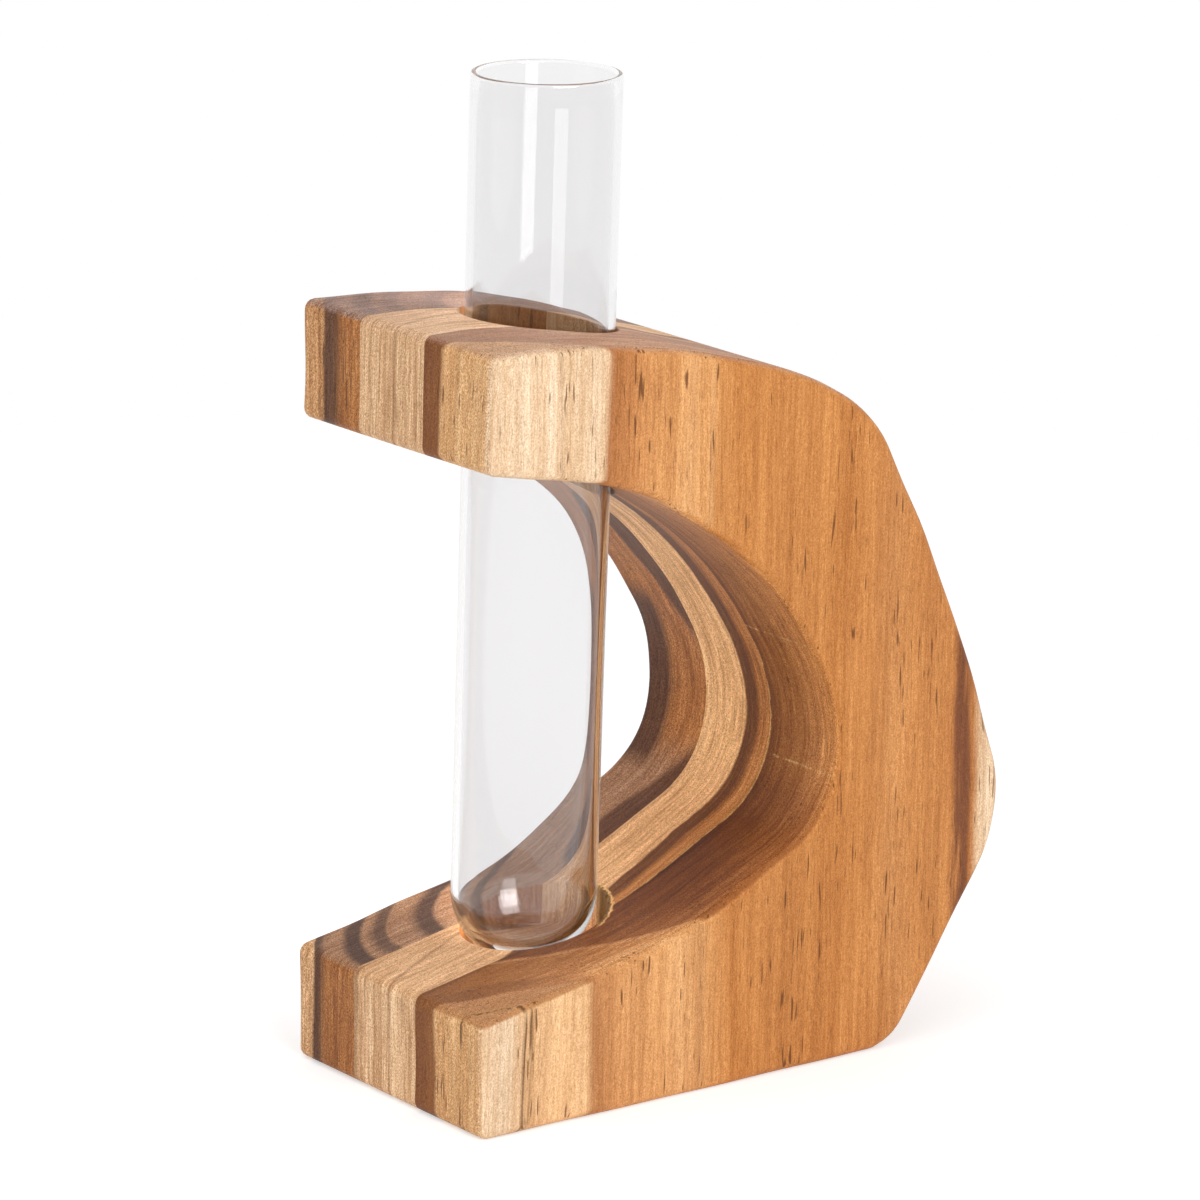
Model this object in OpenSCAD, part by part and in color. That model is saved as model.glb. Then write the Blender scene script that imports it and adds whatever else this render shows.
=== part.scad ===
// Test tube vase: a plain glass test tube that stands in a C-shaped wooden holder.
// The holder is three boards glued face to face and sawn to one outline. A hole for the
// tube goes down through the upper arm and ends as a shallow recess in the lower arm.
// Sizes are in millimetres. X runs from the open side to the back, Y across the boards,
// Z up. The origin is at the middle of the holder's bounding box, on the table.

/* [Holder] */
// Length of the holder, from its tips to the rearmost part of its back
holder_l = 112; // [106:0.5:120]
// Height of the holder, from the table to the top of its upper arm
holder_h = 134; // [126:0.5:144]
// Height of the lower arm at its tip
lower_tip_h = 20.5; // [16:0.5:24]
// Height of the upper arm at its tip
upper_tip_h = 20.5; // [16:0.5:24]
// Thickness of the board on the near side
near_t = 19; // [12:0.5:26]
// Thickness of the middle board
middle_t = 18; // [12:0.5:26]
// Thickness of the board on the far side
far_t = 17; // [12:0.5:26]
// Radius sanded along the edges of the two outer faces
edge_r = 1.5; // [0.5:0.25:1.75]

/* [Outer outline, corners before rounding] */
// Crown corner, where the top starts to fall: distance from the tips
crown_x = 29.5; // [26:0.5:36]
// Crown corner: drop below the top
crown_drop = 0.5; // [0.5:0.5:2]
// Crown corner: radius
crown_r = 190; // [120:5:220]
// Slope corner, where the top falls faster: distance in from the back
slope_in = 47.5; // [44:0.5:52]
// Slope corner: drop below the top
slope_drop = 10; // [8:0.5:12]
// Slope corner: radius
slope_r = 60; // [40:1:70]
// Shoulder corner, where the top turns down into the back: distance in from the back
shoulder_in = 30.5; // [26:0.5:34]
// Shoulder corner: drop below the top
shoulder_drop = 19.5; // [17:0.5:22]
// Shoulder corner: radius
shoulder_r = 27; // [15:1:32]
// Bulge corner, halfway down the back: distance in from the back
bulge_in = 11.5; // [9:0.5:14]
// Bulge corner: drop below the top
bulge_drop = 54.5; // [50:0.5:58]
// Bulge corner: radius
bulge_r = 330; // [250:5:370]
// Knee corner, lowest on the back: how far it stands out past the rounded back
knee_out = 2.5; // [1:0.5:4]
// Knee corner: height above the table
knee_h = 39.5; // [34:0.5:44]
// Knee corner: radius
knee_r = 24; // [14:1:28]
// Heel corner, where the back meets the flat base: distance in from the back
heel_in = 23; // [18:0.5:28]
// Heel corner: radius
heel_r = 9; // [4:0.5:12]
// Radius of the outer corners at the tips
tip_r = 2; // [2:0.25:5]

/* [Inner outline, corners before rounding] */
// Ceiling corner, under the upper arm: distance from the tips
ceiling_x = 30.5; // [27:0.5:34]
// Ceiling corner: drop below the top
ceiling_drop = 26; // [24:0.5:28]
// Ceiling corner: radius
ceiling_r = 50; // [30:1:60]
// Haunch corner, where the opening turns down: distance in from the back
haunch_in = 52; // [49:0.5:55]
// Haunch corner: drop below the top
haunch_drop = 45; // [42:0.5:48]
// Haunch corner: radius
haunch_r = 64; // [40:1:70]
// Rear corner, high on the back of the opening: distance in from the back
rear_in = 38; // [35:0.5:41]
// Rear corner: drop below the top
rear_drop = 67.5; // [64:0.5:70]
// Rear corner: radius
rear_r = 28; // [18:1:30]
// Pocket corner, low on the back of the opening: distance in from the back
pocket_in = 35.5; // [32:0.5:38]
// Pocket corner: height above the table
pocket_h = 46; // [44:0.5:49]
// Pocket corner: radius
pocket_r = 18.5; // [12:0.5:20]
// Ramp corner, on top of the lower arm: distance from the tips
ramp_x = 42; // [40:0.5:46]
// Ramp corner: height above the table
ramp_h = 29; // [26:0.5:31]
// Ramp corner: radius
ramp_r = 65; // [30:1:80]
// Radius of the inner corners at the tips
lip_r = 2; // [2:0.25:4]

/* [Hole for the tube] */
// Distance of the hole's axis from the tips
hole_x = 30; // [26:0.5:33]
// Free space all round the tube in the hole
hole_gap = 0.65; // [0.4:0.05:1.5]
// Depth of the recess in the lower arm, on the hole's axis
recess_depth = 7.5; // [3:0.25:12]

/* [Test tube] */
// Outside diameter of the tube
tube_d = 25; // [22:0.5:27]
// Length of the tube from its round bottom to its rim
tube_l = 154; // [130:1:180]
// Thickness of the glass
tube_wall = 1.2; // [0.8:0.1:2]
// Space left between the tube's bottom and the floor of the recess
seat_gap = 0.3; // [0.1:0.05:0.5]

/* [Hidden] */
$fn = 96;

// Largest distance between a drawn arc and its chords
arc_tol = 0.03;
// Steps round the quarter circle of a sanded edge
edge_steps = 4;
// How far the cutter runs on above the wood
cut_over = 1;
// Largest part of a side that its two corners' arcs may use
side_share = 0.98;

holder_t = near_t + middle_t + far_t;
near_y = -holder_t / 2;
near_joint_y = near_y + near_t;
far_joint_y = near_joint_y + middle_t;
far_y = far_joint_y + far_t;

tube_r = tube_d / 2;
tube_inner_r = tube_r - tube_wall;
rim_r = tube_wall / 2;
hole_r = tube_r + hole_gap;

// Corners of the sawn outline, in order round it: [distance from the tips, height, radius]
corners = [
    [0, 0, tip_r],
    [holder_l - heel_in, 0, heel_r],
    [holder_l + knee_out, knee_h, knee_r],
    [holder_l - bulge_in, holder_h - bulge_drop, bulge_r],
    [holder_l - shoulder_in, holder_h - shoulder_drop, shoulder_r],
    [holder_l - slope_in, holder_h - slope_drop, slope_r],
    [crown_x, holder_h - crown_drop, crown_r],
    [0, holder_h, tip_r],
    [0, holder_h - upper_tip_h, lip_r],
    [ceiling_x, holder_h - ceiling_drop, ceiling_r],
    [holder_l - haunch_in, holder_h - haunch_drop, haunch_r],
    [holder_l - rear_in, holder_h - rear_drop, rear_r],
    [holder_l - pocket_in, pocket_h, pocket_r],
    [ramp_x, ramp_h, ramp_r],
    [0, lower_tip_h, lip_r],
];
corner_count = len(corners);

function spot(i) = let (c = corners[(i + corner_count) % corner_count]) [c[0], c[1]];
function side(i) = spot(i + 1) - spot(i);
function heading(i) = let (s = side(i)) s / norm(s);
function bend(i) = let (a = heading(i - 1), b = heading(i))
    atan2(a[0] * b[1] - a[1] * b[0], a * b);
function reach_of(i) = corners[(i + corner_count) % corner_count][2] * tan(abs(bend(i)) / 2);

// Share of a corner's radius that its two sides have room for
function fit_on(i) = min(1, side_share * norm(side(i)) / (reach_of(i) + reach_of(i + 1)));
function radius(i) = corners[i][2] * min(fit_on(i - 1), fit_on(i));

function arc_steps(i) = max(2, ceil(abs(bend(i)) / (2 * acos(1 - arc_tol / radius(i)))));

// The sawn outline with its corners rounded, counted from the tips and moved in by inset
function inset_outline(inset) = [
    for (i = [0 : corner_count - 1])
        let (turn = bend(i), way = sign(turn), r = radius(i), h = heading(i - 1))
        let (centre = spot(i) - h * r * tan(abs(turn) / 2) + [-h[1], h[0]] * r * way)
        let (from = atan2(h[1], h[0]) - 90 * way, steps = arc_steps(i))
        for (k = [0 : steps])
            let (a = from + turn * k / steps)
            centre + (r - way * inset) * [cos(a), sin(a)]
];
outline = inset_outline(0);

// The tips stand half the finished length in front of the origin
tips_x = -max([for (p = outline) p[0]]) / 2;
axis_x = tips_x + hole_x;

// Top of the lower arm at a distance from the tips, read off the outline
arm_top = [for (p = outline) if (p[0] <= ramp_x && p[1] > lower_tip_h - lip_r && p[1] <= ramp_h) p];
recess_floor_z = lookup(hole_x, arm_top) - recess_depth;
tube_z = recess_floor_z + seat_gap;

// A slab between two planes across the holder, sawn to an outline
module slab(y0, y1, path) {
    translate([tips_x, y1, 0])
        rotate([90, 0, 0])
            linear_extrude(y1 - y0)
                polygon(path);
}

// A quarter-round strip along the edges of the near face, all round the outline
module sanded_edge() {
    section = concat(
        [
            for (k = [0 : edge_steps])
                let (a = 90 * k / edge_steps)
                [edge_r * (1 - sin(a)), edge_r * (1 - cos(a))]
        ],
        [[edge_r, edge_r]]
    );
    n = len(outline);
    m = len(section);
    rings = [for (p = section) inset_outline(p[0])];
    points = [
        for (j = [0 : m - 1])
            for (p = rings[j])
                [p[0], section[j][1], p[1]]
    ];
    faces = [
        for (j = [0 : m - 1])
            for (i = [0 : n - 1])
                let (jj = (j + 1) % m, ii = (i + 1) % n)
                [j * n + i, j * n + ii, jj * n + ii, jj * n + i]
    ];
    translate([tips_x, near_y, 0])
        polyhedron(points, faces, convexity = 6);
}

// The outer skin of the near board: a thin slab with a sanded edge
module sanded_skin() {
    slab(near_y, near_y + edge_r, inset_outline(edge_r));
    sanded_edge();
}

// The hole through the upper arm and the recess below it, cut in one pass
module tube_hole() {
    translate([axis_x, 0, recess_floor_z])
        cylinder(h = holder_h + cut_over - recess_floor_z, r = hole_r);
}

module near_board() {
    color([0.78, 0.53, 0.33])
        union() {
            sanded_skin();
            difference() {
                slab(near_y + edge_r, near_joint_y, outline);
                tube_hole();
            }
        }
}

// The hole is wider than this board, so it leaves the upper tip as a block of its own
module middle_board() {
    color([0.85, 0.69, 0.48])
        difference() {
            slab(near_joint_y, far_joint_y, outline);
            tube_hole();
        }
}

module far_board() {
    color([0.47, 0.32, 0.22])
        union() {
            mirror([0, 1, 0])
                sanded_skin();
            difference() {
                slab(far_joint_y, far_y - edge_r, outline);
                tube_hole();
            }
        }
}

// Half section of the tube: round bottom, straight wall and melted round rim
module tube_section() {
    intersection() {
        translate([0, tube_r])
            difference() {
                circle(tube_r);
                circle(tube_inner_r);
            }
        square([tube_r, tube_r]);
    }
    translate([tube_inner_r, tube_r])
        square([tube_wall, tube_l - tube_r - rim_r]);
    translate([tube_r - rim_r, tube_l - rim_r])
        circle(rim_r);
}

module test_tube() {
    color([0.86, 0.93, 0.95, 0.4])
        translate([axis_x, 0, tube_z])
            rotate_extrude()
                tube_section();
}

near_board();
middle_board();
far_board();
test_tube();
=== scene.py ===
"""Test tube vase: three glued boards sawn to a C and a glass tube, dressed around the CAD frame."""

import math

import bmesh
import bpy
import numpy as np
from mathutils import Matrix, Vector

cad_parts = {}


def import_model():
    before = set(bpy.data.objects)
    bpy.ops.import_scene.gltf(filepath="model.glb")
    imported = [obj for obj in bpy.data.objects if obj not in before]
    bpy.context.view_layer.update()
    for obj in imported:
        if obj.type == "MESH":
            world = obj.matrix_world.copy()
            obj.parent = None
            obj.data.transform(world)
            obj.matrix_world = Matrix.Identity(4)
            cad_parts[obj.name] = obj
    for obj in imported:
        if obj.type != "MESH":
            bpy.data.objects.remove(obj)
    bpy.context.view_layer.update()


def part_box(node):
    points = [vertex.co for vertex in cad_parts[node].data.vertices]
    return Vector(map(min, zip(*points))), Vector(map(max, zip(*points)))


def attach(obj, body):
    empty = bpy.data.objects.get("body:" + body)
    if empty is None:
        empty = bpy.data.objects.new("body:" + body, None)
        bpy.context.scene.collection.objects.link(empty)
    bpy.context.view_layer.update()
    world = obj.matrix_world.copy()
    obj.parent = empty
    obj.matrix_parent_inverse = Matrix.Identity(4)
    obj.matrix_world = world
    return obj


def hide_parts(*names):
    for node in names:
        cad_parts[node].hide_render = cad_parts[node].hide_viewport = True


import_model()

MM = 0.001

# Sizes read from the frame, in millimetres of the row frame
near_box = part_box("near_board")
far_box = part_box("far_board")
tube_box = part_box("test_tube")
tips_x = near_box[0].x / MM
holder_h = near_box[1].z / MM
near_y = near_box[0].y / MM
near_joint_y = near_box[1].y / MM
far_joint_y = far_box[0].y / MM
far_y = far_box[1].y / MM
tube_r = (tube_box[1].x - tube_box[0].x) / 2 / MM
axis_x = (tube_box[0].x + tube_box[1].x) / 2 / MM
tube_z = tube_box[0].z / MM
rim_z = tube_box[1].z / MM

# Sizes that the frame's boxes don't give, in millimetres
holder_l = 112.0
edge_r = 1.5
tube_wall = 1.2
seat_gap = 0.3
recess_floor_z = tube_z - seat_gap

# The real drilling is a little off: the recess lies further in than the hole above it
hole_x, hole_y, hole_r = axis_x - 0.28, 0.21, tube_r + 0.9
recess_x, recess_y, recess_r = axis_x + 1.25, 1.0, tube_r + 0.25


# The sawn outline

def corners():
    """Corners of the outline before rounding: distance from the tips, height, radius."""
    top, back = holder_h, holder_l
    return [
        (0, 0, 2),
        (back - 23, 0, 9),
        (back + 2.5, 39.5, 24),
        (back - 11.5, top - 54.5, 330),
        (back - 30.5, top - 19.5, 27),
        (back - 47.5, top - 10, 60),
        (29.5, top - 0.5, 190),
        (0, top, 2),
        (0, top - 20.5, 2),
        (30.5, top - 26, 50),
        (back - 52, top - 45, 64),
        (back - 38, top - 67.5, 28),
        (back - 35.5, 46, 18.5),
        (42, 29, 65),
        (0, 20.5, 2),
    ]


def unit(v):
    return v / np.linalg.norm(v)


def corner_arcs():
    """The arc that rounds each corner: centre, radius, way round, start angle and turn."""
    c = np.array(corners(), float)
    spots, radii, n = c[:, :2], c[:, 2], len(c)
    arcs = []
    for i in range(n):
        a = unit(spots[i] - spots[i - 1])
        b = unit(spots[(i + 1) % n] - spots[i])
        turn = math.atan2(a[0] * b[1] - a[1] * b[0], a @ b)
        left = np.array([-a[1], a[0]])
        way = math.copysign(1.0, turn)
        centre = spots[i] - a * radii[i] * math.tan(abs(turn) / 2) + left * radii[i] * way
        start = math.atan2(a[1], a[0]) - way * math.pi / 2
        arcs.append((centre, radii[i], way, start, turn))
    return arcs


def outline(step):
    """Points round the sawn outline about step apart, with their inward normals and lengths along it."""
    arcs = corner_arcs()
    points, normals = [], []
    for i, (centre, r, way, start, turn) in enumerate(arcs):
        steps = max(4, math.ceil(abs(turn) * r / step))
        for k in range(steps + 1):
            angle = start + turn * k / steps
            out = np.array([math.cos(angle), math.sin(angle)])
            points.append(centre + r * out)
            normals.append(-way * out)
        next_centre, next_r, _, next_start, _ = arcs[(i + 1) % len(arcs)]
        begin = points[-1]
        end = next_centre + next_r * np.array([math.cos(next_start), math.sin(next_start)])
        gaps = math.ceil(np.linalg.norm(end - begin) / step)
        for k in range(1, gaps):
            points.append(begin + (end - begin) * k / gaps)
            normals.append(normals[-1])
    points = np.array(points)
    points[:, 0] += tips_x
    spans = np.linalg.norm(np.roll(points, -1, axis=0) - points, axis=1)
    return points, np.array(normals), np.concatenate([[0], np.cumsum(spans)[:-1]])


path, inward, along = outline(1.3)


def surface_z(side):
    """Height of the top, the ceiling under the upper arm or the lower arm's top, as a function of x."""
    high = path[:, 1] > holder_h / 2
    pick = {
        "top": high & (inward[:, 1] < -0.3),
        "ceiling": high & (inward[:, 1] > 0.3),
        "lower": ~high & (inward[:, 1] < -0.3),
    }[side]
    p = path[pick & (path[:, 0] < axis_x + 30)]
    p = p[np.argsort(p[:, 0])]
    return lambda x: float(np.interp(x, p[:, 0], p[:, 1]))


# Meshes

def new_object(name, bm):
    mesh = bpy.data.meshes.new(name)
    bmesh.ops.recalc_face_normals(bm, faces=bm.faces)
    bm.to_mesh(mesh)
    bm.free()
    obj = bpy.data.objects.new(name, mesh)
    bpy.context.scene.collection.objects.link(obj)
    return obj


def smooth(obj, degrees):
    for polygon in obj.data.polygons:
        polygon.use_smooth = True
    obj.data.set_sharp_from_angle(angle=math.radians(degrees))
    weighted = obj.modifiers.new("even_normals", "WEIGHTED_NORMAL")
    weighted.keep_sharp = True


def loft(bm, rings, close_first=True, close_last=True):
    """Quads between equal rings of points, with a polygon over each end."""
    rows = [[bm.verts.new(p) for p in ring] for ring in rings]
    n = len(rows[0])
    for a, b in zip(rows, rows[1:]):
        for i in range(n):
            j = (i + 1) % n
            bm.faces.new((a[i], a[j], b[j], b[i]))
    if close_first:
        bm.faces.new(rows[0][::-1])
    if close_last:
        bm.faces.new(rows[-1])


def hand_sanding(s, y):
    """How far the sander went in past the sawn line at a length along the outline, in millimetres."""
    turns = 2 * math.pi * s / along[-1]
    swing = 0.07
    return swing * (
        np.sin(9 * turns + 0.6 + y / 31)
        + np.sin(17 * turns + 2.1 - y / 23)
        + 0.7 * np.sin(31 * turns + 4.0 + y / 17)
    )


def edge_radius(s):
    """The sanded edge's radius, which wanders a little as a hand-sanded one does."""
    turns = 2 * math.pi * s / along[-1]
    return edge_r * (1 + 0.1 * np.sin(7 * turns + 1) + 0.08 * np.sin(23 * turns + 3))


def board_rings(y0, y1, sanded):
    """Rings of points from plane y0 to plane y1. The edge at y0 is sanded round where sanded is true."""
    way = math.copysign(1.0, y1 - y0)
    thick = abs(y1 - y0)
    sander_depth = 0.2
    row_gap = 3.0

    # The sander took nothing off the flat that stands on the table, and less right beside it
    on_table = (path[:, 1] < 0.3) & (np.abs(inward[:, 1]) > 0.95)
    fade = 4
    window = 2 * fade + 1
    settle = np.where(on_table, 0.0, 1.0)
    settle = np.concatenate([settle[-fade:], settle, settle[:fade]])
    settle = np.convolve(settle, np.ones(window) / window, "valid")
    settle = np.where(on_table, 0.0, settle)
    rings = []

    def ring(inset, y):
        inset = inset + settle * (sander_depth + hand_sanding(along, y))
        p = path + inward * np.reshape(inset, (-1, 1))
        ys = np.broadcast_to(y, along.shape)
        return [(x * MM, yy * MM, max(z, 0.0) * MM) for (x, z), yy in zip(p, ys)]

    first = 0.0
    if sanded:
        r = edge_radius(along)
        steps = 6
        for k in range(steps + 1):
            a = k / steps * math.pi / 2
            rings.append(ring(r * (1 - math.sin(a)), y0 + way * r * (1 - math.cos(a))))
        first = row_gap
    gaps = max(1, round((thick - first) / row_gap))
    for k in range(gaps + 1):
        y = y0 + way * (first + (thick - first) * k / gaps)
        rings.append(ring(np.zeros(len(along)), y))
    return rings


def torn(t):
    """Fibres torn from the recess's rim on the side towards the back and the near face."""
    window = max(0.0, math.cos(t - math.radians(-36))) ** 3
    rough = math.sin(11 * t + 1) + 0.9 * math.sin(29 * t + 2) + 0.9 * math.sin(67 * t)
    return 0.15 + window * max(0.0, 0.35 + 0.45 * rough)


def hole_cutter():
    """The drill's path with softened rims: recess, open gap, hole through the upper arm."""
    top, ceiling, lower = surface_z("top"), surface_z("ceiling"), surface_z("lower")
    count = 180
    soft, steps = 0.45, 4
    turns = [2 * math.pi * k / count for k in range(count)]

    def ring(x0, y0, r, height):
        points = []
        for t in turns:
            grown = r(t) if callable(r) else r
            x, y = x0 + grown * math.cos(t), y0 + grown * math.sin(t)
            points.append((x * MM, y * MM, height(x, t) * MM))
        return points

    def low_ring(r, height):
        return ring(recess_x, recess_y, r, height)

    def high_ring(r, height):
        return ring(hole_x, hole_y, r, height)

    rings = [
        low_ring(recess_r, lambda x, t: recess_floor_z),
        low_ring(recess_r, lambda x, t: lower(x) - torn(t)),
    ]
    for k in range(1, steps + 1):
        a = k / steps * math.pi / 2
        rings.append(low_ring(
            lambda t, a=a: recess_r + torn(t) * (1 - math.cos(a)),
            lambda x, t, a=a: lower(x) - torn(t) * (1 - math.sin(a)),
        ))
    rings.append(low_ring(lambda t: recess_r + torn(t), lambda x, t: lower(x) + 1))
    rings.append(high_ring(hole_r + soft, lambda x, t: ceiling(x) - 1))
    for k in range(steps + 1):
        a = k / steps * math.pi / 2
        r = hole_r + soft * (1 - math.sin(a))
        rings.append(high_ring(r, lambda x, t, a=a: ceiling(x) + soft * (1 - math.cos(a))))
    for k in range(steps + 1):
        a = k / steps * math.pi / 2
        r = hole_r + soft * (1 - math.cos(a))
        rings.append(high_ring(r, lambda x, t, a=a: top(x) - soft * (1 - math.sin(a))))
    rings.append(high_ring(hole_r + soft, lambda x, t: top(x) + 2))
    bm = bmesh.new()
    loft(bm, rings)
    return new_object("hole_cutter", bm)


def cut(obj, cutter):
    """Take the cutter out of obj for good."""
    bore = obj.modifiers.new("bore", "BOOLEAN")
    bore.operation = "DIFFERENCE"
    bore.solver = "EXACT"
    bore.object = cutter
    bpy.context.view_layer.update()
    graph = bpy.context.evaluated_depsgraph_get()
    mesh = bpy.data.meshes.new_from_object(obj.evaluated_get(graph))
    obj.modifiers.clear()
    obj.data = mesh
    mesh.materials.clear()


def build_board(name, y0, y1, sanded, cutter):
    bm = bmesh.new()
    loft(bm, board_rings(y0, y1, sanded))
    obj = new_object(name, bm)
    cut(obj, cutter)
    smooth(obj, 32)
    return obj


def tube_profile():
    """Radius and height round the glass wall: thicker round bottom, straight sides, melted rim."""
    inner_r = tube_r - tube_wall
    rim_r = tube_wall / 2
    bottom_wall = 1.8 * tube_wall
    bottom = tube_r - bottom_wall
    round_steps, rim_steps = 32, 12
    profile = []
    for k in range(round_steps + 1):
        a = k / round_steps * math.pi / 2
        profile.append((tube_r * math.sin(a), tube_z + tube_r - tube_r * math.cos(a)))
    straight = np.linspace(tube_z + tube_r, rim_z - rim_r, 24)[1:]
    profile += [(tube_r, z) for z in straight]
    for k in range(1, rim_steps):
        a = k / rim_steps * math.pi
        profile.append((tube_r - rim_r + rim_r * math.cos(a), rim_z - rim_r + rim_r * math.sin(a)))
    profile += [(inner_r, z) for z in straight[::-1]]
    for k in range(round_steps + 1):
        a = (1 - k / round_steps) * math.pi / 2
        profile.append((inner_r * math.sin(a), tube_z + tube_r - bottom * math.cos(a)))
    return profile


def build_tube():
    """The glass, lathed. It stands askew, its foot towards the tips and the far side."""
    count = 192
    mouth_x, mouth_y = axis_x + 0.34, -0.26
    lean_x, lean_y = 1.47, 1.13
    mouth_flare = 0.02
    bm = bmesh.new()
    rows = []
    for r, z in tube_profile():
        down = (rim_z - z) / (rim_z - tube_z)
        x0 = mouth_x - lean_x * down
        y0 = lean_y * down + mouth_y
        r *= 1 + mouth_flare * (1 - down)
        turns = [2 * math.pi * k / count for k in range(count if r > 1e-6 else 1)]
        rows.append([
            bm.verts.new(((x0 + r * math.cos(t)) * MM, (y0 + r * math.sin(t)) * MM, z * MM))
            for t in turns
        ])
    for a, b in zip(rows, rows[1:]):
        for i in range(count):
            j = (i + 1) % count
            face = [a[i % len(a)], a[j % len(a)], b[j % len(b)], b[i % len(b)]]
            bm.faces.new(list(dict.fromkeys(face)))
    obj = new_object("glass_tube", bm)
    for polygon in obj.data.polygons:
        polygon.use_smooth = True
    return obj


# Materials

class Nodes:
    """Short calls that build a node tree."""

    def __init__(self, owner):
        owner.use_nodes = True
        self.tree = owner.node_tree
        self.tree.nodes.clear()

    def add(self, kind, **settings):
        node = self.tree.nodes.new(kind)
        for key, value in settings.items():
            setattr(node, key, value)
        return node

    def link(self, source, socket):
        if isinstance(source, (int, float)):
            socket.default_value = source
        elif isinstance(source, tuple):
            socket.default_value = (*source, 1.0) if len(socket.default_value) == 4 else source
        else:
            self.tree.links.new(source, socket)

    def maths(self, operation, a, b=0.0, c=0.0):
        node = self.add("ShaderNodeMath", operation=operation)
        for source, socket in zip((a, b, c), node.inputs):
            self.link(source, socket)
        return node.outputs[0]

    def times(self, *values):
        total = values[0]
        for value in values[1:]:
            total = self.maths("MULTIPLY", total, value)
        return total

    def plus(self, a, b):
        return self.maths("ADD", a, b)

    def minus(self, a, b):
        return self.maths("SUBTRACT", a, b)

    def vector(self, operation, a, b=(0, 0, 0)):
        node = self.add("ShaderNodeVectorMath", operation=operation)
        self.link(a, node.inputs[0])
        self.link(b, node.inputs[1])
        return node.outputs["Value" if operation == "LENGTH" else "Vector"]

    def split(self, source):
        node = self.add("ShaderNodeSeparateXYZ")
        self.link(source, node.inputs[0])
        return node.outputs

    def noise(self, at, detail=2.0, rough=0.5):
        """Noise in space, about one blob to a unit. Gives its value and its colour."""
        node = self.add("ShaderNodeTexNoise")
        self.link(at, node.inputs["Vector"])
        node.inputs["Scale"].default_value = 1.0
        node.inputs["Detail"].default_value = detail
        node.inputs["Roughness"].default_value = rough
        return node.outputs["Fac"], node.outputs["Color"]

    def line_noise(self, at, detail=2.0, rough=0.5):
        node = self.add("ShaderNodeTexNoise", noise_dimensions="1D")
        self.link(at, node.inputs["W"])
        node.inputs["Scale"].default_value = 1.0
        node.inputs["Detail"].default_value = detail
        node.inputs["Roughness"].default_value = rough
        return node.outputs["Fac"]

    def step(self, value, low, high):
        """0 below low, 1 above high, smooth between."""
        node = self.add("ShaderNodeMapRange", interpolation_type="SMOOTHSTEP")
        self.link(value, node.inputs["Value"])
        self.link(low, node.inputs["From Min"])
        self.link(high, node.inputs["From Max"])
        return node.outputs["Result"]

    def below(self, value, low, high):
        """1 below low, 0 above high, smooth between."""
        return self.minus(1.0, self.step(value, low, high))

    def band(self, value, centre, half, soft):
        """1 within half of the centre, falling to 0 over soft."""
        off = self.maths("ABSOLUTE", self.minus(value, centre))
        return self.below(off, half, half + soft)

    def mix(self, amount, a, b, blend="MIX"):
        node = self.add("ShaderNodeMix", data_type="RGBA", blend_type=blend)
        self.link(amount, node.inputs[0])
        self.link(a, node.inputs[6])
        self.link(b, node.inputs[7])
        return node.outputs[2]


def linear(r, g, b):
    """A colour as seen on a screen, 0 to 255, as the linear light that the shaders take."""
    def one(v):
        v /= 255
        return v / 12.92 if v <= 0.04045 else ((v + 0.055) / 1.055) ** 2.4
    return one(r), one(g), one(b)


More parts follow.
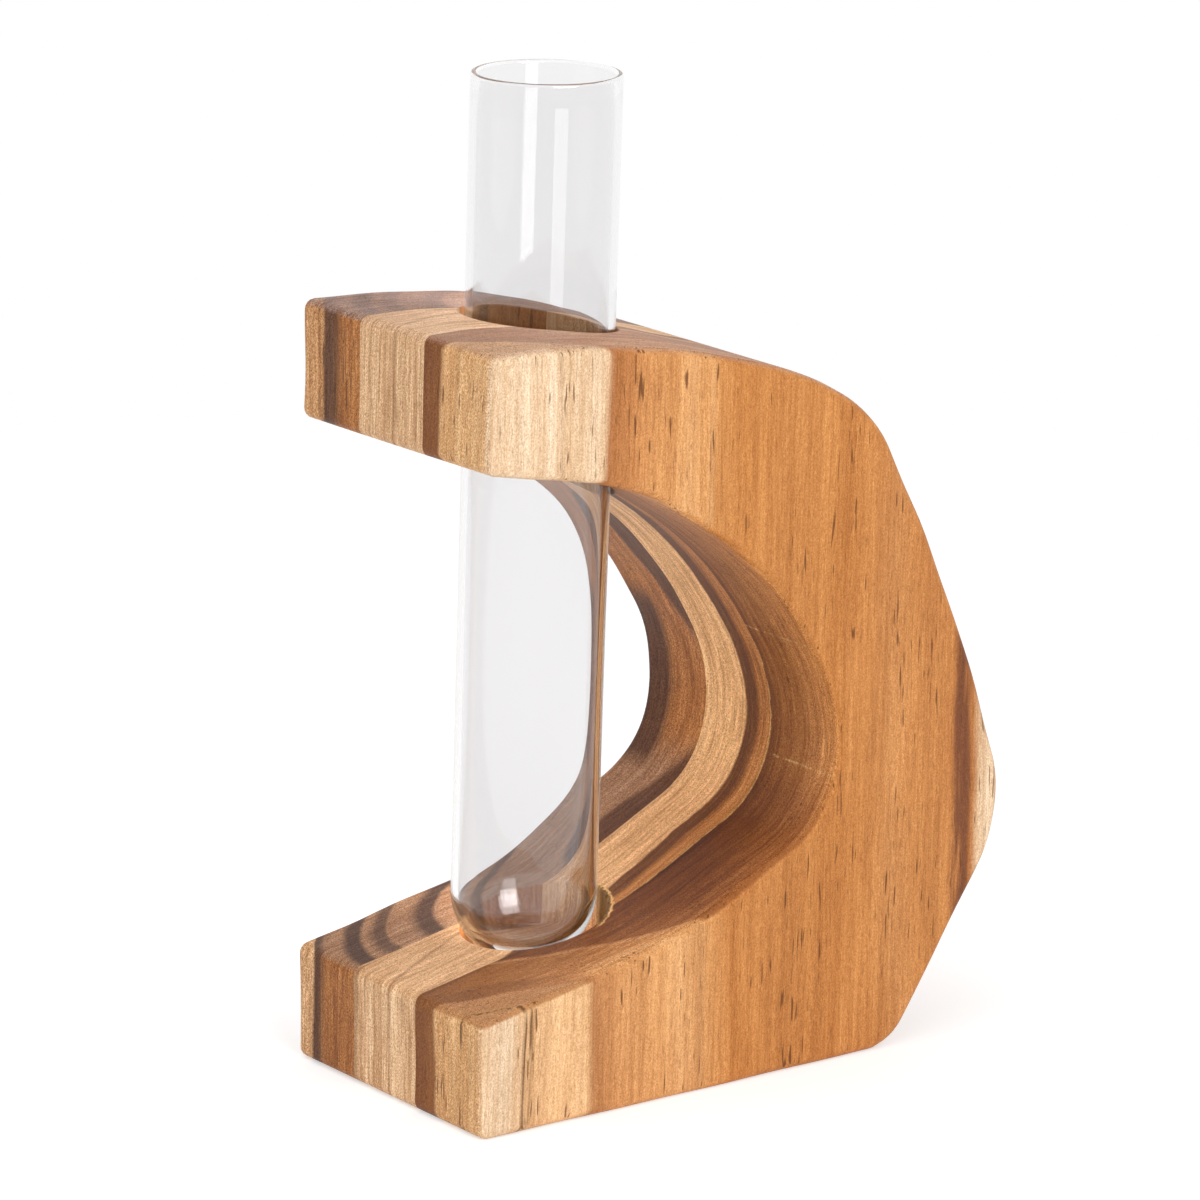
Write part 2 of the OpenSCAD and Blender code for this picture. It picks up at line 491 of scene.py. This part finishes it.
class Wood(Nodes):
    """One board's wood. The grain runs along Z and the growth rings are lines in the XY plane.

    Places are in millimetres, with x from the tips, so that they match the outline's corners.
    """

    def __init__(self, name, seed, wander=1.6):
        self.material = bpy.data.materials.new(name)
        super().__init__(self.material)
        coords = self.add("ShaderNodeTexCoord")
        there = self.vector("MULTIPLY", coords.outputs["Object"], (1 / MM, 1 / MM, 1 / MM))
        self.here = self.vector("SUBTRACT", there, (tips_x, 0, 0))
        self.place = self.vector("ADD", self.here, (seed * 37.0, seed * 91.0, seed * 13.0))
        self.x, self.y, self.z = self.split(self.here)
        self.normal = self.split(coords.outputs["Normal"])
        self.sawn = self.below(self.maths("ABSOLUTE", self.normal["Y"]), 0.3, 0.7)
        self.seed = seed

        # The rings wander slowly, and a little more over short distances
        slow = self.stretched(1 / 30, 1 / 120, 1.0)[1]
        quick = self.stretched(1 / 5, 1 / 40, 2.0)[1]
        self.bent = self.vector("ADD", self.here, self.sway(slow, 2 * wander))
        self.bent = self.vector("ADD", self.bent, self.sway(quick, 1.0))
        self.place = self.vector("ADD", self.place, self.sway(slow, 4.0))
        self.place = self.vector("ADD", self.place, self.sway(quick, 1.2))

    def stretched(self, across, along_grain, detail, rough=0.5):
        """Noise drawn out along the grain, by cycles to a millimetre across it and along it."""
        return self.noise(self.vector("MULTIPLY", self.place, (across, across, along_grain)), detail, rough)

    def sway(self, colour, size):
        centred = self.vector("SUBTRACT", colour, (0.5, 0.5, 0.5))
        return self.vector("MULTIPLY", centred, (size, size, 0))

    def rings(self, pith_x, pith_y, squash=1.0):
        """Distance from the tree's middle. The rings are squash times as long in x as in y."""
        off = self.vector("SUBTRACT", self.bent, (pith_x, pith_y, 0))
        return self.vector("LENGTH", self.vector("MULTIPLY", off, (1 / squash, 1, 0)))

    def ramp(self, value, *stops):
        """A colour that follows value through the stops (value, red, green, blue)."""
        low, high = stops[0][0], stops[-1][0]
        node = self.add("ShaderNodeValToRGB")
        elements = node.color_ramp.elements
        elements[0].color = (*linear(*stops[0][1:]), 1)
        elements[-1].color = (*linear(*stops[-1][1:]), 1)
        for position, *colour in stops[1:-1]:
            elements.new((position - low) / (high - low)).color = (*linear(*colour), 1)
        self.link(self.maths("DIVIDE", self.minus(value, low), high - low), node.inputs[0])
        return node.outputs[0]

    def tones(self, distance, wide, light, dark):
        """Two tones in ring bands about wide millimetres across, with fine lines in them."""
        broad = self.line_noise(self.maths("MULTIPLY_ADD", distance, 1 / wide, self.seed * 5.3), 2.0)
        fine = self.line_noise(self.maths("MULTIPLY_ADD", distance, 7 / wide, self.seed * 9.1), 3.0, 0.6)
        both = self.maths("MULTIPLY_ADD", fine, 0.4, self.times(broad, 0.6))
        return self.mix(self.step(both, 0.34, 0.66), light, dark)

    def shaded(self, colour, shade):
        """The colour made darker and browner below 1, paler and yellower above it."""
        tint = self.add("ShaderNodeCombineXYZ")
        for socket, power in zip(tint.inputs, (0.8, 1.1, 1.4)):
            self.link(self.maths("POWER", shade, power), socket)
        return self.mix(1.0, colour, tint.outputs[0], "MULTIPLY")

    def swing(self, value, size):
        """1 plus size times how far a noise is from its middle."""
        return self.maths("MULTIPLY_ADD", self.minus(value, 0.5), size, 1.0)

    def upper(self):
        """1 over the upper arm."""
        return self.step(self.z, 100.0, 115.0)

    def lower(self):
        """1 at the lower arm, fading out up the curve."""
        return self.below(self.z, 30.0, 70.0)

    def bored_wall(self):
        """1 on the drilled wall of the hole in the upper arm."""
        off = self.vector("SUBTRACT", self.here, (hole_x - tips_x, hole_y, 0))
        off = self.vector("LENGTH", self.vector("MULTIPLY", off, (1, 1, 0)))
        return self.times(self.below(off, hole_r + 0.1, hole_r + 0.4), self.step(self.z, 90.0, 100.0))

    def surface(self, colour, fibre, pore):
        """The shader of oiled wood, with raised fibres and sunken pores."""
        shader = self.add("ShaderNodeBsdfPrincipled")
        self.link(colour, shader.inputs["Base Color"])
        self.link(self.maths("MULTIPLY_ADD", fibre, 0.2, 0.42), shader.inputs["Roughness"])
        shader.inputs["Specular IOR Level"].default_value = 0.2
        relief = self.maths("MULTIPLY_ADD", pore, -0.8, self.times(fibre, 0.6))
        bump = self.add("ShaderNodeBump")
        bump.inputs["Strength"].default_value = 0.35
        bump.inputs["Distance"].default_value = 0.08 * MM
        self.link(relief, bump.inputs["Height"])
        self.link(bump.outputs[0], shader.inputs["Normal"])
        out = self.add("ShaderNodeOutputMaterial")
        self.link(shader.outputs[0], out.inputs["Surface"])
        return self.material

    def finish(self, colour, dark, pores=0.5, streaks=1.0, lines=1.0, grit=1.0, saw=2.0):
        """Fibres, streaks and pores over the board's own colours, and its sheen and relief."""
        side_grain = self.minus(1.0, self.times(self.maths("ABSOLUTE", self.normal["Z"]), 0.65))
        cloud = self.stretched(0.13, 0.03, 2.0)[0]
        strand = self.stretched(0.5, 0.012, 4.0, 0.6)[0]
        fibre = self.stretched(2.0, 0.07, 3.0, 0.65)[0]
        short = self.stretched(3.2, 0.6, 1.0)[0]
        dots = self.stretched(5.0, 3.2, 1.0)[0]
        shade = self.swing(cloud, 0.35)
        shade = self.times(shade, self.swing(strand, self.times(side_grain, 0.75 * streaks)))
        shade = self.times(shade, self.swing(fibre, self.times(side_grain, 0.8 * lines)))
        shade = self.times(shade, self.swing(short, 0.65 * grit))
        shade = self.times(shade, self.swing(dots, self.plus(1.3 * grit, self.times(self.sawn, 1.2))))

        # The sander ran round the sawn outline and left fine lines along it
        scratch = self.noise(self.vector("MULTIPLY", self.place, (0.06, 1.1, 0.06)), 5.0, 0.75)[0]
        shade = self.times(shade, self.swing(scratch, self.times(self.sawn, saw)))
        colour = self.shaded(colour, shade)

        # The drilled wall is darker and greyer
        colour = self.mix(self.times(self.bored_wall(), 0.4), colour, linear(90, 66, 48))

        # Open pores are short dark dashes along the grain, in crowds
        crowd = self.stretched(0.14, 0.02, 2.0)[0]
        tube = self.stretched(1.9, 0.17, 0.5)[0]
        thin = self.stretched(3.1, 0.3, 0.5)[0]
        pore = self.step(self.plus(tube, self.times(crowd, 0.5)), 0.95, 1.04)
        faint = self.step(self.plus(thin, self.times(crowd, 0.3)), 0.8, 0.92)
        colour = self.mix(self.times(faint, 0.35 * pores), colour, dark)
        colour = self.mix(self.times(pore, pores), colour, dark)
        return self.surface(colour, fibre, pore)


def near_heart(w, rings, y, up, low):
    """The near board's heartwood: broad golden rings at the broad face, browner inside."""
    face = w.ramp(
        rings,
        (87.0, 205, 137, 76),
        (88.7, 201, 131, 69),
        (89.6, 211, 144, 82),
        (90.8, 230, 170, 112),
        (92.0, 218, 153, 93),
        (93.2, 216, 151, 92),
        (94.6, 203, 136, 80),
        (96.5, 172, 108, 61),
    )
    face = w.mix(w.times(w.step(w.x, 70.0, 80.0), 0.7), face, linear(197, 127, 67))
    face = w.mix(w.times(low, w.band(w.x, 36.0, 10.0, 8.0), 0.25), face, linear(236, 179, 122))
    inside = w.ramp(
        y,
        (-24.5, 198, 131, 74),
        (-20.0, 190, 125, 70),
        (-16.0, 168, 107, 54),
        (-11.0, 155, 95, 45),
        (-9.4, 148, 90, 41),
        (-8.3, 124, 71, 30),
    )
    heart = w.mix(w.step(y, -26.0, -20.0), face, inside)
    heart = w.shaded(heart, w.swing(w.line_noise(w.times(rings, 0.9), 3.0, 0.6), 0.35))
    lower_inside = w.times(low, w.step(y, -26.0, -20.0), w.step(w.x, 36.0, 48.0), 0.9)
    heart = w.mix(lower_inside, heart, (0.68, 0.6, 0.51), "MULTIPLY")

    # A straight front across the lower arm, with a pale line along it and darker wood behind it
    side = w.plus(w.times(w.minus(w.x, 18.75), 0.53), w.times(w.plus(y, 9.7), 0.845))
    behind = w.times(w.step(side, -0.2, 0.6), up, low)
    heart = w.mix(w.times(behind, 0.9), heart, (0.52, 0.4, 0.34), "MULTIPLY")
    return w.mix(w.times(w.band(side, -0.5, 0.12, 0.5), 0.4), heart, linear(205, 150, 100))


def near_sap(w, rings, y, up, low):
    """The near board's sapwood: a painted highlight makes it palest at the broad face; one dark ring
    through the lower tip's corner.
    """
    # Painted highlight: the sapwood on the broad face is paler and less yellow than the tan sapwood of the
    # other faces
    pale = w.tones(rings, 3.0, linear(240, 209, 174), linear(231, 192, 151))
    tan = w.tones(rings, 3.0, linear(237, 188, 134), linear(224, 168, 112))
    golden = w.times(low, w.step(w.x, 6.0, 12.0), w.below(w.x, 60.0, 80.0), 0.75)
    sap = w.mix(w.step(y, -26.7, -24.8), pale, tan)
    sap = w.mix(golden, sap, linear(238, 184, 128))
    sap = w.mix(w.times(up, low, 0.9), sap, linear(188, 130, 82))
    broken = w.step(w.stretched(1.2, 0.06, 2.0)[0], 0.44, 0.6)
    sap = w.mix(w.times(w.band(rings, 103.3, 0.5, 1.6), low, 0.3), sap, linear(206, 150, 92))
    return w.mix(w.times(w.band(rings, 103.3, 0.15, 0.55), low, broken, 0.9), sap, linear(104, 70, 42))


def near_wood():
    """Orange-brown heartwood with pale sapwood at the tips and at the back of the bulge."""
    w = Wood("near_wood", 1.0)
    _, y, _ = w.split(w.bent)
    rings = w.rings(64.5, 60.6)
    up = w.step(w.normal["Z"], 0.25, 0.6)
    low = w.lower()
    tip = w.below(w.x, 3.0, 14.0)
    past = w.minus(rings, w.plus(96.5, w.times(tip, 1.3)))
    heart = near_heart(w, rings, y, up, low)

    # The heartwood's edge is darkest: deep inside the tips and along the bulge
    deep = w.times(w.step(y, -24.0, -17.0), w.band(past, -1.5, 1.5, 2.0))
    heart = w.mix(w.times(deep, 0.75), heart, linear(138, 84, 44))
    streak = w.times(w.band(past, -1.2, 0.35, 0.6), w.step(w.x, 78.0, 92.0))
    patchy = w.step(w.stretched(0.6, 0.05, 2.0)[0], 0.3, 0.55)
    heart = w.mix(w.times(streak, patchy, 0.85), heart, linear(112, 64, 44))

    colour = w.mix(w.step(past, -0.45, 0.45), heart, near_sap(w, rings, y, up, low))

    # Painted sheen: the crown over the upper arm is made paler and greyer, as a sheen seen at a grazing
    # angle makes it
    crown_sheen = w.times(w.step(w.normal["Z"], 0.4, 0.9), w.upper())
    colour = w.mix(w.times(crown_sheen, 0.55), colour, linear(190, 146, 120))

    # Two light marks that the saw left across the inner curve
    inner = w.step(w.times(w.normal["X"], -1.0), 0.4, 0.8)
    marks = w.maths("MAXIMUM", w.band(w.z, 51.2, 0.05, 0.25), w.band(w.z, 74.7, 0.05, 0.25))
    scratchy = w.step(w.stretched(0.8, 0.8, 2.0)[0], 0.35, 0.6)
    colour = w.mix(w.times(marks, inner, scratchy, 0.65), colour, linear(210, 165, 105))
    colour = torn_rim(w, glue_line(w, colour))
    saw = w.plus(0.9, w.times(w.step(w.x, 10.0, 30.0), 1.6))
    return w.finish(colour, linear(98, 56, 26), pores=0.8, grit=0.8, saw=saw)


def glue_line(w, colour):
    """Dried glue that shows along the near joint in the lower half of the inner curve."""
    reach = w.times(w.below(w.z, 66.0, 76.0), w.step(w.x, 40.0, 50.0), w.sawn)
    line = w.band(w.y, near_joint_y, 0.1, 0.25)
    broken = w.step(w.stretched(0.3, 0.3, 3.0)[0], 0.35, 0.6)
    return w.mix(w.times(line, reach, broken, 0.8), colour, linear(222, 172, 104))


def torn_rim(w, colour):
    """Pale broken fibres where the drill tore the recess's rim, with painted shade in the torn hollow."""
    off = w.vector("SUBTRACT", w.here, (recess_x - tips_x, recess_y, 0))
    flat = w.vector("MULTIPLY", off, (1, 1, 0))
    x, y, _ = w.split(flat)
    reach = w.minus(w.times(x, 0.81), w.times(y, 0.59))
    window = w.times(w.step(reach, 10.3, 12.0), w.below(w.z, 34.0, 40.0))
    ragged = w.times(w.minus(w.stretched(1.3, 1.3, 3.0)[0], 0.5), 1.3)
    past = w.plus(w.minus(w.vector("LENGTH", flat), recess_r), ragged)
    fibres = w.times(w.below(past, 0.9, 1.1), window, 0.85)
    colour = w.mix(fibres, colour, linear(226, 176, 112))
    # Painted shade: the torn hollow at the rim is coloured dark
    notch_shade = w.times(w.below(past, 0.45, 0.65), window, 0.9)
    return w.mix(notch_shade, colour, linear(92, 60, 24))


def middle_wood():
    """Pale sapwood, browner than the near board's, with dark heartwood along the near joint."""
    w = Wood("middle_wood", 2.0, wander=1.0)
    rings = w.rings(66, -166)
    past = w.minus(rings, 165.0)
    tip_sap = w.tones(rings, 2.6, linear(236, 192, 147), linear(219, 171, 125))
    back_sap = w.tones(rings, 3.5, linear(247, 196, 138), linear(235, 178, 119))
    sap = w.mix(w.step(w.x, 28.0, 62.0), tip_sap, back_sap)
    up = w.step(w.normal["Z"], 0.25, 0.6)
    sap = w.mix(w.times(up, w.below(w.z, 40.0, 60.0), 0.5), sap, linear(215, 158, 108))
    sap = w.mix(w.times(w.band(rings, 178.5, 0.1, 0.5), 0.5), sap, linear(150, 100, 64))
    far_edge = w.step(w.y, far_joint_y - 1.8, far_joint_y - 0.5)
    tips = w.times(w.below(w.x, 0.5, 3.0), w.below(w.z, 40.0, 60.0))
    sap = w.mix(w.times(far_edge, tips, 0.55), sap, linear(150, 104, 66))
    heart = w.tones(rings, 3.0, linear(192, 128, 70), linear(170, 104, 50))
    heart = w.mix(w.times(w.step(past, -4.4, -2.6), 0.95), heart, linear(104, 58, 26))
    colour = w.mix(w.step(past, -0.35, 0.35), heart, sap)
    # Painted sheen: the crown over the upper arm is made paler and greyer
    crown_sheen = w.times(up, w.upper())
    colour = w.mix(w.times(crown_sheen, 0.35), colour, linear(212, 170, 140))
    colour = torn_rim(w, glue_line(w, colour))
    return w.finish(colour, linear(146, 98, 60), pores=0.35, streaks=0.6, lines=1.4, grit=0.6, saw=2.4)


def far_wood():
    """Brown heartwood with wide dark rings, and a pale wedge at the far corner of the tips."""
    w = Wood("far_wood", 3.0)
    low = w.lower()
    rings = w.rings(59.5, 8.0, squash=1.69)
    heart = w.tones(rings, 5.0, linear(190, 124, 68), linear(162, 100, 50))

    # End grain is greyer, partly its own colour and partly painted sheen, and the crown over the upper arm
    # gets the most painted sheen
    end_grain_and_sheen = w.step(w.normal["Z"], 0.3, 0.8)
    heart = w.mix(w.times(end_grain_and_sheen, 0.75), heart, linear(164, 124, 94))
    crown_sheen = w.times(end_grain_and_sheen, w.upper())

    # Dark rings, darker lens in the middle, dark edge below the wedge
    dark = linear(80, 52, 38)
    ring_a = w.times(w.step(rings, 31.7, 32.5), w.below(rings, 33.5, 34.7))
    ring_b = w.times(w.step(rings, 28.8, 29.4), w.below(rings, 30.0, 31.6), 0.8)
    ring_c = w.times(w.step(rings, 23.4, 24.2), w.below(rings, 25.2, 27.0))
    ring_d = w.times(w.band(rings, 20.2, 0.4, 0.8), 0.8)
    for ring in (ring_a, ring_b, ring_c, ring_d):
        heart = w.mix(w.times(ring, 0.95), heart, dark)
    heart = w.mix(w.times(w.below(rings, 7.4, 9.2), 0.95), heart, linear(96, 56, 32))
    edge = w.minus(rings, w.times(low, 0.6))
    heart = w.mix(w.times(w.step(edge, 35.4, 36.6), 0.85), heart, dark)
    stripe = w.times(w.step(w.y, 18.0, 21.5), w.band(w.x, 74.0, 2.5, 4.0))
    heart = w.mix(w.times(stripe, 0.9), heart, linear(84, 50, 32))
    wedge = w.tones(rings, 3.0, linear(226, 176, 128), linear(204, 150, 100))
    wedge = w.mix(w.minus(1.0, low), wedge, linear(198, 142, 92))
    wedge_edge = w.minus(rings, w.times(low, 0.4))
    colour = w.mix(w.step(wedge_edge, 37.1, 37.5), heart, wedge)
    # Painted sheen: the crown over the upper arm is made paler and greyer
    colour = w.mix(w.times(crown_sheen, 0.7), colour, linear(160, 126, 111))
    return w.finish(colour, linear(70, 42, 26), pores=0.65, lines=1.2, grit=1.2, saw=2.5)


def glass():
    """Clear glass. Shadow rays, and rays that have bounced in the wall many times, go straight through."""
    material = bpy.data.materials.new("tube_glass")
    n = Nodes(material)
    shader = n.add("ShaderNodeBsdfPrincipled")
    shader.inputs["Base Color"].default_value = (0.9, 0.893, 0.898, 1)
    shader.inputs["Transmission Weight"].default_value = 1.0
    shader.inputs["Roughness"].default_value = 0.0
    shader.inputs["IOR"].default_value = 1.47
    clear = n.add("ShaderNodeBsdfTransparent")
    clear.inputs["Color"].default_value = (0.96, 0.96, 0.96, 1)
    rays = n.add("ShaderNodeLightPath")
    most_bounces = 4.5
    long_way = n.maths("GREATER_THAN", rays.outputs["Ray Depth"], most_bounces)
    both = n.add("ShaderNodeMixShader")
    n.link(n.maths("MAXIMUM", rays.outputs["Is Shadow Ray"], long_way), both.inputs[0])
    n.link(shader.outputs[0], both.inputs[1])
    n.link(clear.outputs[0], both.inputs[2])
    out = n.add("ShaderNodeOutputMaterial")
    n.link(both.outputs[0], out.inputs["Surface"])
    return material


def seen_directly(n):
    """1 for rays from the camera, from a mirror-like surface or through glass."""
    rays = n.add("ShaderNodeLightPath")
    either = n.maths("MAXIMUM", rays.outputs["Is Camera Ray"], rays.outputs["Is Glossy Ray"])
    return n.maths("MAXIMUM", either, rays.outputs["Is Transmission Ray"])


def floor_material():
    """White paper. It glows a little where it is seen, so that only a soft shadow shows on it."""
    material = bpy.data.materials.new("floor")
    n = Nodes(material)
    paper = n.add("ShaderNodeBsdfDiffuse")
    paper.inputs["Color"].default_value = (0.92, 0.92, 0.92, 1)
    white = n.add("ShaderNodeEmission")
    white.inputs["Strength"].default_value = 2.6
    both = n.add("ShaderNodeMixShader")
    n.link(n.maths("MULTIPLY", seen_directly(n), 0.2), both.inputs[0])
    n.link(paper.outputs[0], both.inputs[1])
    n.link(white.outputs[0], both.inputs[2])
    out = n.add("ShaderNodeOutputMaterial")
    n.link(both.outputs[0], out.inputs["Surface"])
    return material


# Setting

def floor():
    bm = bmesh.new()
    bmesh.ops.create_circle(bm, cap_ends=True, segments=96, radius=0.48)
    obj = new_object("floor", bm)
    obj.data.materials.append(floor_material())


def background(n, strength):
    node = n.add("ShaderNodeBackground")
    node.inputs["Color"].default_value = (1, 1, 1, 1)
    node.inputs["Strength"].default_value = strength
    return node.outputs[0]


def world():
    """White where it is seen, and dimmer as a light."""
    w = bpy.data.worlds.new("studio")
    bpy.context.scene.world = w
    w.use_nodes = True
    n = Nodes(w)
    both = n.add("ShaderNodeMixShader")
    n.link(seen_directly(n), both.inputs[0])
    n.link(background(n, 0.62), both.inputs[1])
    n.link(background(n, 1.0), both.inputs[2])
    out = n.add("ShaderNodeOutputWorld")
    n.link(both.outputs[0], out.inputs["Surface"])


def lamp(name, direction, distance, height, width, tall, power):
    """A soft panel turned to face the holder, at a direction in degrees from -Y towards +X."""
    aim = Vector((0, 0, 0.08))
    data = bpy.data.lights.new(name, "AREA")
    data.shape = "RECTANGLE"
    data.size = width
    data.size_y = tall
    data.energy = power
    obj = bpy.data.objects.new(name, data)
    turn = math.radians(direction)
    at = Vector((math.sin(turn) * distance, -math.cos(turn) * distance, height))
    obj.location = at
    obj.rotation_euler = (aim - at).to_track_quat("-Z", "Y").to_euler()
    obj.visible_camera = False
    bpy.context.scene.collection.objects.link(obj)
    return obj


def only_for(obj, lamps):
    """Let the lamps reach this object and no other."""
    receivers = bpy.data.collections.new("glass_only")
    receivers.objects.link(obj)
    for light in lamps:
        light.visible_diffuse = False
        light.light_linking.receiver_collection = receivers


def camera():
    """The photograph's view, solved from the outline's points in it."""
    photo_px = 1200
    focal_px = 6289.0
    azimuth, elevation, roll = math.radians(-37.57), math.radians(14.66), math.radians(1.09)
    distance, aim_right, aim_height = 1042.97, 34.605, 88.085
    back = Vector((
        math.sin(azimuth) * math.cos(elevation),
        -math.cos(azimuth) * math.cos(elevation),
        math.sin(elevation),
    ))
    right = Vector((math.cos(azimuth), math.sin(azimuth), 0))
    target = right * aim_right + Vector((tips_x, 0, aim_height))
    up = back.cross(right)
    rolled_right = right * math.cos(roll) + up * math.sin(roll)
    rolled_up = up * math.cos(roll) - right * math.sin(roll)
    data = bpy.data.cameras.new("camera")
    data.sensor_fit = "HORIZONTAL"
    data.sensor_width = 36
    data.lens = focal_px / photo_px * data.sensor_width
    data.clip_start = 0.01
    obj = bpy.data.objects.new("camera", data)
    turn = Matrix((rolled_right, rolled_up, back)).transposed()
    obj.matrix_world = Matrix.Translation((target + back * distance) * MM) @ turn.to_4x4()
    bpy.context.scene.collection.objects.link(obj)
    bpy.context.scene.camera = obj


def dress(obj, material, node, body):
    obj.data.materials.append(material)
    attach(obj, body)
    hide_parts(node)


def main():
    bpy.context.scene.view_settings.view_transform = "Standard"
    camera()
    cutter = hole_cutter()
    near = build_board("board_near", near_y, near_joint_y, True, cutter)
    middle = build_board("board_middle", near_joint_y, far_joint_y, False, cutter)
    far = build_board("board_far", far_y, far_joint_y, True, cutter)
    bpy.data.objects.remove(cutter)
    dress(near, near_wood(), "near_board", "holder")
    dress(middle, middle_wood(), "middle_board", "holder")
    dress(far, far_wood(), "far_board", "holder")
    tube = build_tube()
    dress(tube, glass(), "test_tube", "tube")
    floor()
    world()
    lamp("key", -13, 0.9, 0.3, 0.38, 0.9, 3.9).visible_glossy = False
    lamp("left", -105, 1.0, 0.25, 0.8, 0.6, 0.5)
    lamp("top", -60, 0.4, 1.0, 0.7, 0.7, 1.2)

    # Panels that only give the glass its reflections: faint upright streaks and a bright window
    streaks = lamp("streaks", -13, 0.9, 0.3, 0.38, 0.9, 1.5)
    window = lamp("window", -8, 0.8, 0.6, 0.56, 0.6, 20)
    only_for(tube, (streaks, window))


main()
